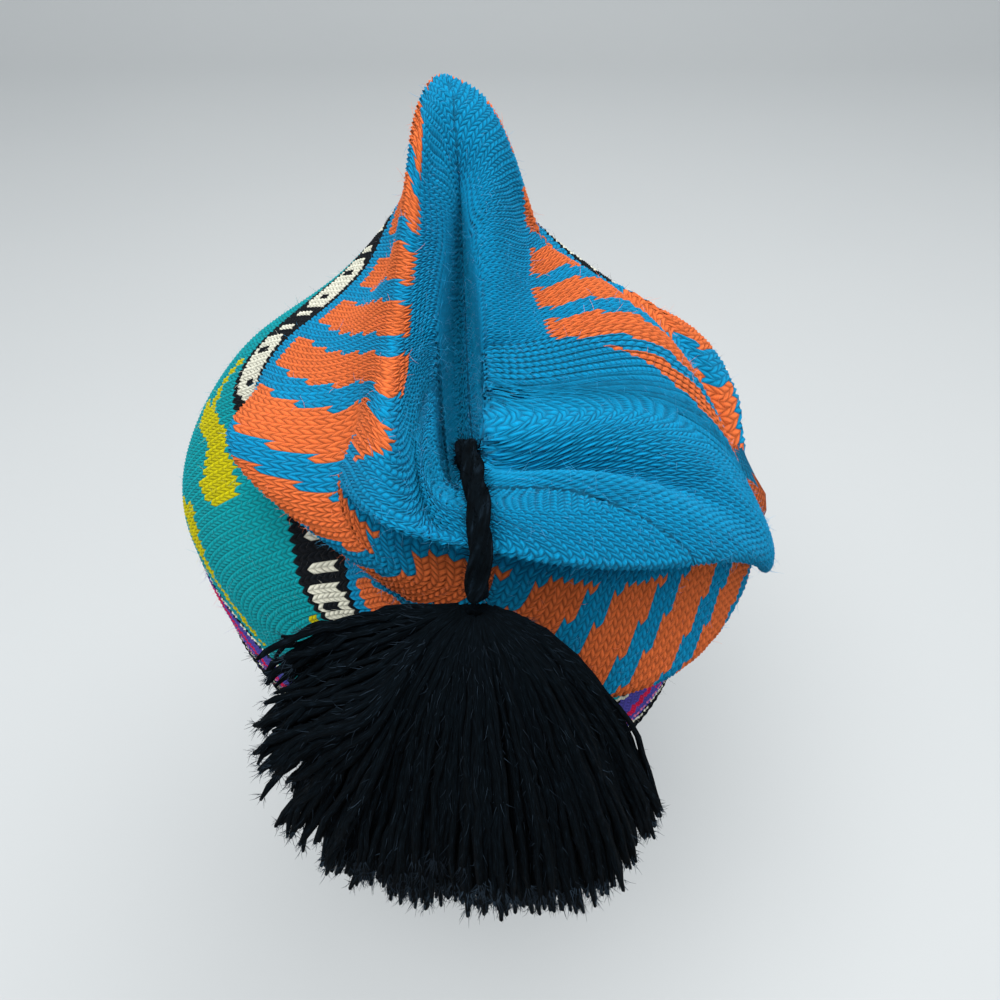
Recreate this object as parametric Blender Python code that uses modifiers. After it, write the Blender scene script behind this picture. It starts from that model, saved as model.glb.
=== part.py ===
# Bobble hat, patterned knit, shown as a head holds it: rim on the XY plane, +Z up, +Y the wearer's front.
import bpy
import bmesh
import math
import numpy as np
from mathutils import Vector
from mathutils.bvhtree import BVHTree

HALF_WIDTH = 0.087        # knitted body at its widest band, middle to side
HALF_DEPTH = 0.0935       # the same, middle to front
HEIGHT = 0.186            # rim to peak
WALL = 0.003              # thickness of the knitted fabric
GAP = 0.0004              # clearance kept between pieces that touch
AROUND = 56               # columns of faces round the knitted body
ALONG = 35                # rows of faces from rim to tip
EDGE_HEIGHT = 0.0040      # rolled edging below the rim
EDGE_THICK = 0.0042
CORD_DIAMETER = 0.0052
CORD_ROOM = 0.0010        # air kept between the cord and the fabric beside it
LOCK_ROOM = 0.0035        # the same for the pompom's locks
TIE = (0.0115, -0.117, 0.124)  # where the pompom is bound to the cord
POMPOM_SPREAD = 0.044     # widest reach of the locks, to each side of the tie
POMPOM_DROP = 0.086       # tie to the lowest cut ends
LOCK_RADIUS = 0.009       # half thickness of one lock
HEAD_RADIUS = 0.0135      # bound head of the pompom
POMPOM_FACES = 2200

# Sections of the knitted body, rim to tip. share: place along the knitting; x, y, z: centre; left, right:
# half widths; depth: half depth; tilt: front edge raised (deg); roll: right side lowered (deg); pinch: how far
# the front narrows; front_y, front_z: where the front end is drawn to, over the half width front_w. Lengths are
# shares: x, left, right and front_w of HALF_WIDTH; y, depth and front_y of HALF_DEPTH; z and front_z of HEIGHT.
SECTIONS = [
    # name          share   x     y      z      left   right  depth tilt roll pinch front_y front_z front_w
    ("rim",         0.00,  0.00,  0.00,  0.024, 0.97,  0.97,  0.97,   0,  0,  0.00,  0.97,  0.024,  0.46),
    ("purple_top",  0.13,  0.00,  0.00,  0.204, 1.00,  1.00,  1.00,   0,  0,  0.00,  1.00,  0.204,  0.46),
    ("teal_mid",    0.21,  0.00,  0.00,  0.339, 1.00,  1.01,  1.00,   3,  0,  0.00,  0.98,  0.370,  0.46),
    ("teal_top",    0.32,  0.01, -0.05,  0.511, 0.82,  1.01,  0.92,   9,  3,  0.03,  0.80,  0.613,  0.41),
    ("eye_top",     0.37,  0.02, -0.10,  0.581, 0.69,  0.99,  0.88,  12,  5,  0.10,  0.64,  0.726,  0.37),
    ("bars_low",    0.39,  0.02, -0.13,  0.602, 0.64,  0.99,  0.85,  12,  7,  0.15,  0.57,  0.763,  0.34),
    ("bars_mid",    0.46,  0.03, -0.28,  0.660, 0.42,  1.01,  0.77,  16, 12,  0.22,  0.30,  0.898,  0.28),
    ("bars_top",    0.53,  0.03, -0.41,  0.705, 0.22,  1.02,  0.64,  18, 17,  0.25,  0.13,  0.973,  0.26),
    ("recess",      0.58,  0.03, -0.43,  0.726, 0.18,  1.04,  0.56,  16, 18,  0.25,  0.05,  1.000,  0.26),
    ("overhang",    0.66,  0.05, -0.60,  0.763, 0.16,  1.04,  0.61,   4, 20,  0.22, -0.03,  0.989,  0.25),
    ("upper",       0.75,  0.06, -0.58,  0.785, 0.13,  0.60,  0.54,   8, 10,  0.20, -0.11,  0.946,  0.18),
    ("mouth",       0.82,  0.07, -0.57,  0.769, 0.075, 0.10,  0.44,  12,  0,  0.65, -0.15,  0.882,  0.14),
    ("throat",      0.88,  0.08, -0.63,  0.699, 0.07,  0.08,  0.35,  12,  0,  0.50, -0.28,  0.774,  0.11),
    ("gather",      0.94,  0.10, -0.75,  0.640, 0.063, 0.07,  0.20,   6,  0,  0.20, -0.56,  0.656,  0.11),
    ("tip",         1.00,  0.13, -0.845, 0.602, 0.063, 0.07,  0.064,  0,  0,  0.00, -0.78,  0.602,  0.11),
]
SECTION_UNITS = (HALF_WIDTH, HALF_DEPTH, HEIGHT, HALF_WIDTH, HALF_WIDTH, HALF_DEPTH, 1, 1, 1,
                 HALF_DEPTH, HEIGHT, HALF_WIDTH)

# Folds: each row pulls the fabric round one spot. around: share of the way round from the front towards the
# wearer's left (0 front, 0.25 left, 0.5 back, 0.75 right); along: share rim to tip; wide, long: its spread;
# x, y, z: the pull, in shares of HALF_WIDTH, HALF_DEPTH and HEIGHT.
FOLDS = [
    # name            around  along  wide   long    x      y      z
    ("rim_lift",      0.370,  0.00,  0.110, 0.250,  0.04,  0.04,  0.110),
    ("left_flank",    0.120,  0.42,  0.070, 0.120,  0.18, -0.09, -0.027),
    ("left_ridge",    0.180,  0.60,  0.080, 0.080, -0.02,  0.00,  0.040),
    ("left_slope",    0.285,  0.590, 0.060, 0.095, -0.03, -0.02,  0.062),
    ("corner_in",     0.330,  0.70,  0.050, 0.070,  0.03,  0.05, -0.045),
    ("left_lobe",     0.300,  0.450, 0.055, 0.045, -0.24,  0.02,  0.026),
    ("lobe_back",     0.360,  0.58,  0.050, 0.080, -0.23,  0.05,  0.016),
    ("left_tuck",     0.335,  0.365, 0.050, 0.045,  0.16,  0.08,  0.010),
    ("back_low",      0.450,  0.36,  0.060, 0.070,  0.00, -0.02, -0.035),
    ("right_front",   0.870,  0.44,  0.080, 0.110, -0.07, -0.21, -0.038),
    ("right_out",     0.700,  0.53,  0.100, 0.130,  0.14,  0.00,  0.016),
    ("right_corner",  0.665,  0.57,  0.065, 0.120,  0.02, -0.10, -0.237),
    ("corner_low",    0.600,  0.62,  0.060, 0.070,  0.02,  0.00, -0.070),
    ("right_sag",     0.570,  0.44,  0.100, 0.050, -0.02, -0.16, -0.156),
    ("back_sag",      0.480,  0.44,  0.050, 0.050,  0.00, -0.04, -0.050),
    ("pucker",        0.570,  0.76,  0.022, 0.060,  0.00,  0.03, -0.048),
]


def smooth_table(shares, values, at):
    """Monotone cubic through the rows of a table, so that no column overshoots its own numbers."""
    x, y = np.asarray(shares, float), np.asarray(values, float)
    h, d = np.diff(x), np.diff(y) / np.diff(x)
    m = np.zeros_like(y)
    m[0], m[-1] = d[0], d[-1]
    for i in range(1, len(x) - 1):
        if d[i - 1] * d[i] > 0:
            w1, w2 = 2 * h[i] + h[i - 1], h[i] + 2 * h[i - 1]
            m[i] = (w1 + w2) / (w1 / d[i - 1] + w2 / d[i])
    k = np.clip(np.searchsorted(x, at, side="right") - 1, 0, len(h) - 1)
    t = (at - x[k]) / h[k]
    return ((2 * t**3 - 3 * t**2 + 1) * y[k] + (t**3 - 2 * t**2 + t) * h[k] * m[k]
            + (3 * t**2 - 2 * t**3) * y[k + 1] + (t**3 - t**2) * h[k] * m[k + 1])


def ring_points(row, around, fine=720):
    """One section curve, read at even shares of its length counted from the front towards the left."""
    x0, y0, z0, left, right, depth, tilt, roll, pinch, front_y, front_z, front_w = row
    a = np.linspace(0, 2 * math.pi, fine + 1)
    front = np.cos(a)
    half = np.where(a < math.pi, left, right) * (1 - pinch * (0.5 + 0.5 * front) ** 1.5)
    side = -np.sin(a) * half
    tilt, roll = math.radians(tilt), math.radians(roll)
    across = np.array([math.cos(roll), 0, -math.sin(roll)])
    fore = np.array([0, math.cos(tilt), math.sin(tilt)])
    p = np.array([x0, y0, z0]) + side[:, None] * across + (front * depth)[:, None] * fore
    drawn = np.exp(-np.abs(side / front_w) ** 4) * np.clip(front, 0, 1) ** 0.45
    p += drawn[:, None] * np.array([0, front_y - p[0, 1], front_z - p[0, 2]])
    length = np.concatenate([[0], np.cumsum(np.linalg.norm(np.diff(p, axis=0), axis=1))])
    at = np.asarray(around) * length[-1]
    return np.stack([np.interp(at, length, p[:, k]) for k in range(3)], 1)


def body_surface(around, along):
    """Points of the outer face of the fabric: a row for each share along, a column for each share around."""
    shares = [s[1] for s in SECTIONS]
    columns = [smooth_table(shares, [s[k + 2] * unit for s in SECTIONS], along)
               for k, unit in enumerate(SECTION_UNITS)]
    grid = np.stack([ring_points([c[i] for c in columns], around) for i in range(len(along))])
    for _, at_around, at_along, wide, long, dx, dy, dz in FOLDS:
        du = (around - at_around + 0.5) % 1.0 - 0.5
        weight = np.exp(-(du / wide) ** 2)[None, :] * np.exp(-((along - at_along) / long) ** 2)[:, None]
        grid += weight[..., None] * np.array([dx * HALF_WIDTH, dy * HALF_DEPTH, dz * HEIGHT])
    return grid


def row_normals(grid):
    """Outward unit normals of a grid that is closed round its columns."""
    round_way = np.roll(grid, -1, axis=1) - np.roll(grid, 1, axis=1)
    long_way = np.gradient(grid, axis=0)
    n = np.cross(round_way, long_way)
    for _ in range(2):
        n = n / np.maximum(np.linalg.norm(n, axis=2, keepdims=True), 1e-9)
        padded = np.concatenate([n[:1], n, n[-1:]])
        n = n + 0.35 * (np.roll(n, 1, 1) + np.roll(n, -1, 1)) + 0.35 * (padded[:-2] + padded[2:])
    return n / np.linalg.norm(n, axis=2, keepdims=True)


def grid_faces(rows, cols):
    return [(i * cols + j, i * cols + (j + 1) % cols, (i + 1) * cols + (j + 1) % cols, (i + 1) * cols + j)
            for i in range(rows - 1) for j in range(cols)]


def tangled(grid, against=None):
    """Points of a grid whose faces pass through other faces of the same grid, or through another grid."""
    faces = grid_faces(*grid.shape[:2])
    tree = BVHTree.FromPolygons([Vector(v) for v in grid.reshape(-1, 3)], faces)
    marked = set()
    if against is not None:
        other = BVHTree.FromPolygons([Vector(v) for v in against.reshape(-1, 3)], faces)
        for a, _ in tree.overlap(other):
            marked.update(faces[a])
    for a, b in tree.overlap(tree):
        if a < b and not set(faces[a]) & set(faces[b]):
            marked.update(faces[a] + faces[b])
    return marked


def relax_tangles(grid, against=None, rounds=120):
    """Eases the fabric only where it passes through itself, so that folds stay folds."""
    grid = grid.copy()
    rows, cols = grid.shape[:2]
    for _ in range(rounds):
        marked = tangled(grid, against)
        if not marked:
            break
        weight = np.zeros(rows * cols)
        weight[list(marked)] = 1
        weight = weight.reshape(rows, cols)
        spread = weight.copy()
        spread[1:] = np.maximum(spread[1:], weight[:-1])
        spread[:-1] = np.maximum(spread[:-1], weight[1:])
        spread = np.maximum(spread, np.maximum(np.roll(weight, 1, 1), np.roll(weight, -1, 1)))
        spread[0] = 0
        padded = np.concatenate([grid[:1], grid, grid[-1:]])
        mean = (padded[:-2] + padded[2:] + np.roll(grid, 1, 1) + np.roll(grid, -1, 1)) / 4
        grid += 0.5 * spread[..., None] * (mean - grid)
    return grid


# Route of the cord: centre line from the gathered tip, out of the crease, over the overhang and down to the tie.
CORD_ROUTE = [
    (0.0105, -0.0790, 0.1165), (0.0095, -0.0800, 0.1240), (0.0088, -0.0820, 0.1320), (0.0092, -0.0875, 0.1400),
    (0.0106, -0.0965, 0.1420), (0.0118, -0.1050, 0.1420), (0.0124, -0.1120, 0.1395), (0.0122, -0.1160, 0.1340),
    (TIE[0], TIE[1], TIE[2] + 0.0030),
]


def smooth_route(points, count):
    """Smooth curve through the route's points, read at even lengths."""
    p = np.asarray(points, float)
    p = np.concatenate([[2 * p[0] - p[1]], p, [2 * p[-1] - p[-2]]])
    fine = []
    for i in range(1, len(p) - 2):
        for t in np.linspace(0, 1, 24, endpoint=False):
            fine.append(0.5 * (2 * p[i] + (p[i + 1] - p[i - 1]) * t
                               + (2 * p[i - 1] - 5 * p[i] + 4 * p[i + 1] - p[i + 2]) * t**2
                               + (3 * p[i] - p[i - 1] - 3 * p[i + 1] + p[i + 2]) * t**3))
    fine = np.array(fine + [p[-2]])
    length = np.concatenate([[0], np.cumsum(np.linalg.norm(np.diff(fine, axis=0), axis=1))])
    at = np.linspace(0, length[-1], count)
    return np.stack([np.interp(at, length, fine[:, k]) for k in range(3)], 1), length[-1]


def part_for_cord(grid):
    """Presses the fabric back where the cord runs, by the cord's radius and a little more."""
    line, _ = smooth_route(CORD_ROUTE, 120)
    room = CORD_DIAMETER / 2 + CORD_ROOM
    flat = grid.reshape(-1, 3)
    offset = flat[:, None] - line[None]
    distance = np.linalg.norm(offset, axis=2)
    nearest = distance.argmin(1)
    pick = np.arange(len(flat))
    short = distance[pick, nearest] < room
    away = offset[pick, nearest] / np.maximum(distance[pick, nearest], 1e-8)[:, None]
    flat = np.where(short[:, None], line[nearest] + away * room, flat)
    return flat.reshape(grid.shape)


def add_object(name, verts, faces, material, smooth=True):
    mesh = bpy.data.meshes.new(name)
    mesh.from_pydata([tuple(v) for v in verts], [], faces)
    bm = bmesh.new()
    bm.from_mesh(mesh)
    bmesh.ops.recalc_face_normals(bm, faces=bm.faces)
    bmesh.ops.triangulate(bm, faces=bm.faces)
    bm.to_mesh(mesh)
    bm.free()
    for polygon in mesh.polygons:
        polygon.use_smooth = smooth
    obj = bpy.data.objects.new(name, mesh)
    collection.objects.link(obj)
    mesh.materials.append(material)
    return obj


def add_material(name, colour, roughness):
    mat = bpy.data.materials.new(name)
    mat.use_nodes = True
    shader = mat.node_tree.nodes["Principled BSDF"]
    shader.inputs["Base Color"].default_value = (*colour, 1)
    shader.inputs["Roughness"].default_value = roughness
    mat.diffuse_color = (*colour, 1)
    return mat


def knitted_body():
    """One closed shell: the outer face, the inner face a wall's thickness inside it, joined at the rim."""
    along = np.interp(np.linspace(0, 1, ALONG + 1), [0, 0.19, 1], [0, 0.32, 1])
    around = np.arange(AROUND) / AROUND
    outer = relax_tangles(part_for_cord(relax_tangles(body_surface(around, along))))
    inner = relax_tangles(outer - row_normals(outer) * WALL, outer)
    inner[0, :, 2] = outer[0, :, 2]
    rows, cols = outer.shape[:2]
    verts = np.concatenate([outer.reshape(-1, 3), inner.reshape(-1, 3)])
    far = rows * cols
    faces = grid_faces(rows, cols)
    faces += [tuple(far + k for k in reversed(f)) for f in faces]
    for j in range(cols):
        k = (j + 1) % cols
        faces.append((j, far + j, far + k, k))
    outer_tip, inner_tip = outer[-1].mean(0), inner[-1].mean(0) - np.array([0, 0, WALL])
    verts = np.concatenate([verts, [outer_tip], [inner_tip]])
    top = (rows - 1) * cols
    for j in range(cols):
        k = (j + 1) % cols
        faces += [(top + j, top + k, 2 * far), (far + top + k, far + top + j, 2 * far + 1)]
    return add_object("knitted_body", verts, faces, wool_blue), BVHTree.FromPolygons(
        [Vector(v) for v in verts], faces)


def rim_edging():
    """Rolled edge along the whole rim, a rounded bar that hangs just below the fabric."""
    ring = body_surface(np.arange(64) / 64, np.array([0.0]))[0]
    out = ring.copy()
    out[:, 2] = 0
    out /= np.linalg.norm(out, axis=1, keepdims=True)
    steps = np.arange(8) / 8 * 2 * math.pi
    centre_z = ring[:, 2] - GAP - EDGE_HEIGHT / 2
    verts = []
    for p, n, z in zip(ring, out, centre_z):
        mid = p - n * WALL / 2
        for t in steps:
            verts.append((*(mid + n * math.cos(t) * EDGE_THICK / 2)[:2], z + math.sin(t) * EDGE_HEIGHT / 2))
    count = len(ring)
    faces = [(i * 8 + j, i * 8 + (j + 1) % 8, (i + 1) % count * 8 + (j + 1) % 8, (i + 1) % count * 8 + j)
             for i in range(count) for j in range(8)]
    return add_object("rim_edging", verts, faces, wool_black)


def hanging_cord():
    points, _ = smooth_route(CORD_ROUTE, 11)
    curve = bpy.data.curves.new("hanging_cord", "CURVE")
    curve.dimensions = "3D"
    curve.bevel_depth = CORD_DIAMETER / 2
    curve.bevel_resolution = 3
    curve.use_fill_caps = True
    spline = curve.splines.new("POLY")
    spline.points.add(len(points) - 1)
    for point, co in zip(spline.points, points):
        point.co = (*co, 1)
    obj = bpy.data.objects.new("hanging_cord", curve)
    collection.objects.link(obj)
    curve.materials.append(wool_black)
    return obj


# Layers of locks, top to bottom. How far their ends stand out from the tie, in shares of POMPOM_SPREAD: spread_x
# to each side, spread_y away from the hat, spread_back towards it; fall: how far below the tie they end, in
# shares of POMPOM_DROP; thick: half thickness, in shares of LOCK_RADIUS.
LOCK_LAYERS = [
    # count turn  spread_x spread_y spread_back fall  thick
    (12,    0.00, 0.94,    0.66,    0.20,       0.58, 0.84),
    (12,    0.04, 0.86,    0.58,    0.20,       0.80, 0.90),
    (9,     0.10, 0.60,    0.44,    0.17,       0.94, 0.98),
    (5,     0.00, 0.28,    0.20,    0.11,       0.98, 1.00),
]
LEAN = (-0.05, -0.12)     # the whole pompom hangs a little to the left and away from the hat, as shares of its spread
# Locks that stand out on their own: where they end beside, behind and below the tie, in shares of the same sizes
STRAY_LOCKS = [
    # x      y      z      thick
    (-0.88, -0.06, -0.22,  0.60),
    (-0.92, -0.22, -0.33,  0.66),
    (-0.86, -0.36, -0.62,  0.62),
]


def lock_ends():
    """Where each lock ends, seen from the tie, and its thickness as a share of LOCK_RADIUS."""
    for count, turn, spread_x, spread_y, spread_back, fall, thick in LOCK_LAYERS:
        for i in range(count):
            angle = 2 * math.pi * (i / count + turn)
            wave = 1 + 0.07 * math.sin(5.3 * i + 11 * turn)
            uneven = 1 + 0.05 * math.sin(3.1 * i + 7 * turn)
            reach = spread_back if math.sin(angle) > 0 else spread_y
            yield np.array([(math.cos(angle) * spread_x * wave + LEAN[0] * fall) * POMPOM_SPREAD,
                            (math.sin(angle) * reach * wave + LEAN[1] * fall) * POMPOM_SPREAD,
                            -fall * uneven * POMPOM_DROP]), thick
    for x, y, z, thick in STRAY_LOCKS:
        yield np.array([x * POMPOM_SPREAD, y * POMPOM_SPREAD, z * POMPOM_DROP]), thick


def pompom(body_tree):
    """Locks of yarn that leave the tie on all sides and fall, fused to one bound head. They bend away from the
    fabric behind them."""
    tie = np.array(TIE)
    parts = bmesh.new()
    bmesh.ops.create_icosphere(parts, subdivisions=3, radius=HEAD_RADIUS)
    bmesh.ops.translate(parts, verts=parts.verts, vec=Vector(tie - [0, 0, HEAD_RADIUS]))
    for end, thick in lock_ends():
        rings = []
        for t in np.linspace(0.08, 1, 8):
            p = tie + end * np.array([math.sin(t * math.pi / 2) ** 0.9] * 2 + [t ** 1.55])
            radius = thick * LOCK_RADIUS * (0.45 + 0.62 * math.sin(math.pi * min(1, 0.15 + t * 0.75)))
            rings.append((clear_of_fabric(p, radius + LOCK_ROOM, body_tree), radius))
        add_lock(parts, rings)
    mesh = bpy.data.meshes.new("pompom")
    parts.to_mesh(mesh)
    parts.free()
    obj = bpy.data.objects.new("pompom", mesh)
    collection.objects.link(obj)
    fuse = obj.modifiers.new("fuse", "REMESH")
    fuse.mode = "VOXEL"
    fuse.voxel_size = 0.0024
    thin = obj.modifiers.new("thin", "DECIMATE")
    thin.ratio = 0.1
    faces = count_faces(obj)
    thin.ratio = 0.1 * POMPOM_FACES / faces
    made = bpy.data.meshes.new_from_object(obj.evaluated_get(bpy.context.evaluated_depsgraph_get()))
    obj.modifiers.clear()
    obj.data = made
    made.name = "pompom"
    keep_largest(made)
    hang_from_cord(made)
    made.materials.clear()
    made.materials.append(wool_black)
    for polygon in made.polygons:
        polygon.use_smooth = True
    return obj


def clear_of_fabric(p, room, body_tree):
    """Moves a point away from the hat and a little down until it has room in front of the fabric."""
    for _ in range(10):
        near, normal, _, distance = body_tree.find_nearest(Vector(p))
        if distance >= room and (Vector(p) - near).dot(normal) > 0:
            break
        p = p + np.array([0, -0.0015, -0.0006])
    return p


def hang_from_cord(mesh):
    """Raises or lowers the pompom until its head meets the cord's end, with the gap kept between pieces."""
    tree = BVHTree.FromPolygons([v.co.copy() for v in mesh.vertices], [tuple(f.vertices) for f in mesh.polygons])
    foot = Vector(CORD_ROUTE[-1])
    tops = []
    for i in range(13):
        reach = 0 if i == 12 else CORD_DIAMETER / 2 + GAP
        angle = 2 * math.pi * i / 12
        start = foot + Vector((math.cos(angle) * reach, math.sin(angle) * reach, HEAD_RADIUS))
        hit = tree.ray_cast(start, Vector((0, 0, -1)))[0]
        if hit:
            tops.append(hit.z)
    shift = foot.z - GAP - max(tops)
    for v in mesh.vertices:
        v.co.z += shift


def count_faces(obj):
    bpy.context.view_layer.update()
    return len(obj.evaluated_get(bpy.context.evaluated_depsgraph_get()).data.polygons)


def keep_largest(mesh):
    """Leave only the largest connected piece, so that the solid is one."""
    bm = bmesh.new()
    bm.from_mesh(mesh)
    left, groups = set(bm.verts), []
    while left:
        stack, group = [left.pop()], []
        while stack:
            v = stack.pop()
            group.append(v)
            for edge in v.link_edges:
                o = edge.other_vert(v)
                if o in left:
                    left.remove(o)
                    stack.append(o)
        groups.append(group)
    groups.sort(key=len)
    bmesh.ops.delete(bm, geom=[v for g in groups[:-1] for v in g], context="VERTS")
    bmesh.ops.triangulate(bm, faces=bm.faces)
    bm.to_mesh(mesh)
    bm.free()


def add_lock(bm, rings, sides=8):
    loops = []
    for k, (p, radius) in enumerate(rings):
        before, after = rings[max(k - 1, 0)][0], rings[min(k + 1, len(rings) - 1)][0]
        along = Vector(after - before).normalized()
        across = along.orthogonal().normalized()
        other = along.cross(across)
        loops.append([bm.verts.new(Vector(p) + (across * math.cos(a) + other * math.sin(a)) * radius)
                      for a in (2 * math.pi * i / sides for i in range(sides))])
    for one, two in zip(loops, loops[1:]):
        for i in range(sides):
            j = (i + 1) % sides
            bm.faces.new((one[i], one[j], two[j], two[i]))
    bm.faces.new(loops[0][::-1])
    bm.faces.new(loops[-1])


for obj in list(bpy.data.objects):
    bpy.data.objects.remove(obj)
collection = bpy.data.collections.new("bobble_hat")
bpy.context.scene.collection.children.link(collection)
wool_blue = add_material("knit_wool", (0.02, 0.24, 0.42), 0.9)
wool_black = add_material("black_yarn", (0.012, 0.013, 0.018), 0.9)
body, body_tree = knitted_body()
rim_edging()
hanging_cord()
pompom(body_tree)
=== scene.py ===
# Bobble hat: the knitted body stitch by stitch, its rolled edging, the twisted cord and the yarn pompom,
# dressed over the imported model, on a pale floor in soft light.
import bpy
import math
import numpy as np
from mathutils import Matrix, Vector
from mathutils.bvhtree import BVHTree


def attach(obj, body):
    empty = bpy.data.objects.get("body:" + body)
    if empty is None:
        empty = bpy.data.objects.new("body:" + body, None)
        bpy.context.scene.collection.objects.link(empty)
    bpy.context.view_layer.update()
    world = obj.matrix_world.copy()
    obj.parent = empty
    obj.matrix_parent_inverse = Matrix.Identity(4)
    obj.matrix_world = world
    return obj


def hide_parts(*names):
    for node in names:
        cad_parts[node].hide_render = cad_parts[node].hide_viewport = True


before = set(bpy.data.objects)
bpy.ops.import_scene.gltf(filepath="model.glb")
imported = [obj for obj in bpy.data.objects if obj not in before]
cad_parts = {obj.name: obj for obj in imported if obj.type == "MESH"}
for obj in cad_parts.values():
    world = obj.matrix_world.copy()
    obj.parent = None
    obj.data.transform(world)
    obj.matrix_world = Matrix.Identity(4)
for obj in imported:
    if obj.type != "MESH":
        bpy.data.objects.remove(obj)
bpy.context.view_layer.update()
rng = np.random.default_rng(7)

# Sizes, as in the part's source
HALF_WIDTH = 0.087
HALF_DEPTH = 0.0935
HEIGHT = 0.186
WALL = 0.003
EDGE_HEIGHT = 0.0040
EDGE_THICK = 0.0042
CORD_DIAMETER = 0.0052
EDGE_GAP = 0.0002         # between the edging and the lowest stitches
CORD_ROOM = 0.0010        # between the cord and the fabric
TIE = (0.0115, -0.117, 0.124)    # where the pompom's yarns are bound together
POMPOM_SPREAD = 0.044
POMPOM_DROP = 0.086

# Knitting
WALES = 160               # stitches round the rim
LOW_ROWS = 81             # courses from the rim to the last row of bars
COURSE = 0.00195          # height of one course in the plain crown
COLUMNS = 4               # mesh columns in one wale: edge, leg, middle, leg
V_RISE = 0.85             # how far the legs of a stitch rise from its middle to its edge, in courses
RELIEF = 0.00080          # height of the yarn above the gaps between stitches
COLUMN_HEIGHTS = (0.0, 1.0, 0.45, 1.0)   # of that height, at the four columns of a wale
LOW_HEIGHT = 0.25         # share of it that is left between two courses
QUARTER = 0.25            # share of the way round from the middle of a side to the front or the back
TIP_SHARE = 0.9995        # share along where the last stitches end
SCAN_ROWS = 400           # points along each column when its length is measured
LINING_ROWS = 145         # courses that show on the inner face
# darkening of the yarn colours on the inner face: painted shade inside the hat
LINING_PAINTED_SHADE = 0.55
PIECE_ROWS = (0, 50, 100)                # first course of each mesh of stitches
FUZZ = 7500               # loose fibres on the wool
FUZZ_LENGTH = (0.0014, 0.0038)
FUZZ_LIFT = (0.10, 0.85)  # how steeply they stand off it
FUZZ_WIDTH = 0.00004
FUZZ_BEND = 0.35
FUZZ_ROOT = 0.0004        # height that they start at
# lightening of the loose fibres' yarn colour: painted light that they catch
FUZZ_PAINTED_LIGHT = 1.15
EDGE_SIDES = 10
EDGE_RIDGE = 0.86         # size of the edging between two of its stitches
BASE_COLUMNS = 128        # the smooth fabric that the stitches are laid on
BASE_ROWS = 84
RING_POINTS = 721         # points of a section curve before it is read at even shares

SECTIONS = [
    # name          share   x     y      z      left   right  depth tilt roll pinch front_y front_z front_w
    ("rim",         0.00,  0.00,  0.00,  0.024, 0.97,  0.97,  0.97,   0,  0,  0.00,  0.97,  0.024,  0.46),
    ("purple_top",  0.13,  0.00,  0.00,  0.204, 1.00,  1.00,  1.00,   0,  0,  0.00,  1.00,  0.204,  0.46),
    ("teal_mid",    0.21,  0.00,  0.00,  0.339, 1.00,  1.01,  1.00,   3,  0,  0.00,  0.98,  0.370,  0.46),
    ("teal_top",    0.32,  0.01, -0.05,  0.511, 0.82,  1.01,  0.92,   9,  3,  0.03,  0.80,  0.613,  0.41),
    ("eye_top",     0.37,  0.02, -0.10,  0.581, 0.69,  0.99,  0.88,  12,  5,  0.10,  0.64,  0.726,  0.37),
    ("bars_low",    0.39,  0.02, -0.13,  0.602, 0.64,  0.99,  0.85,  12,  7,  0.15,  0.57,  0.763,  0.34),
    ("bars_mid",    0.46,  0.03, -0.28,  0.660, 0.42,  1.01,  0.77,  16, 12,  0.22,  0.30,  0.898,  0.28),
    ("bars_top",    0.53,  0.03, -0.41,  0.705, 0.22,  1.02,  0.64,  18, 17,  0.25,  0.13,  0.973,  0.26),
    ("recess",      0.58,  0.03, -0.43,  0.726, 0.18,  1.04,  0.56,  16, 18,  0.25,  0.05,  1.000,  0.26),
    ("overhang",    0.66,  0.05, -0.60,  0.763, 0.16,  1.04,  0.61,   4, 20,  0.22, -0.03,  0.989,  0.25),
    ("upper",       0.75,  0.06, -0.58,  0.785, 0.13,  0.60,  0.54,   8, 10,  0.20, -0.11,  0.946,  0.18),
    ("mouth",       0.82,  0.07, -0.57,  0.769, 0.075, 0.10,  0.44,  12,  0,  0.65, -0.15,  0.882,  0.14),
    ("throat",      0.88,  0.08, -0.63,  0.699, 0.07,  0.08,  0.35,  12,  0,  0.50, -0.28,  0.774,  0.11),
    ("gather",      0.94,  0.10, -0.75,  0.640, 0.063, 0.07,  0.20,   6,  0,  0.20, -0.56,  0.656,  0.11),
    ("tip",         1.00,  0.13, -0.845, 0.602, 0.063, 0.07,  0.064,  0,  0,  0.00, -0.78,  0.602,  0.11),
]
SECTION_UNITS = (HALF_WIDTH, HALF_DEPTH, HEIGHT, HALF_WIDTH, HALF_WIDTH, HALF_DEPTH, 1, 1, 1,
                 HALF_DEPTH, HEIGHT, HALF_WIDTH)
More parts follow.
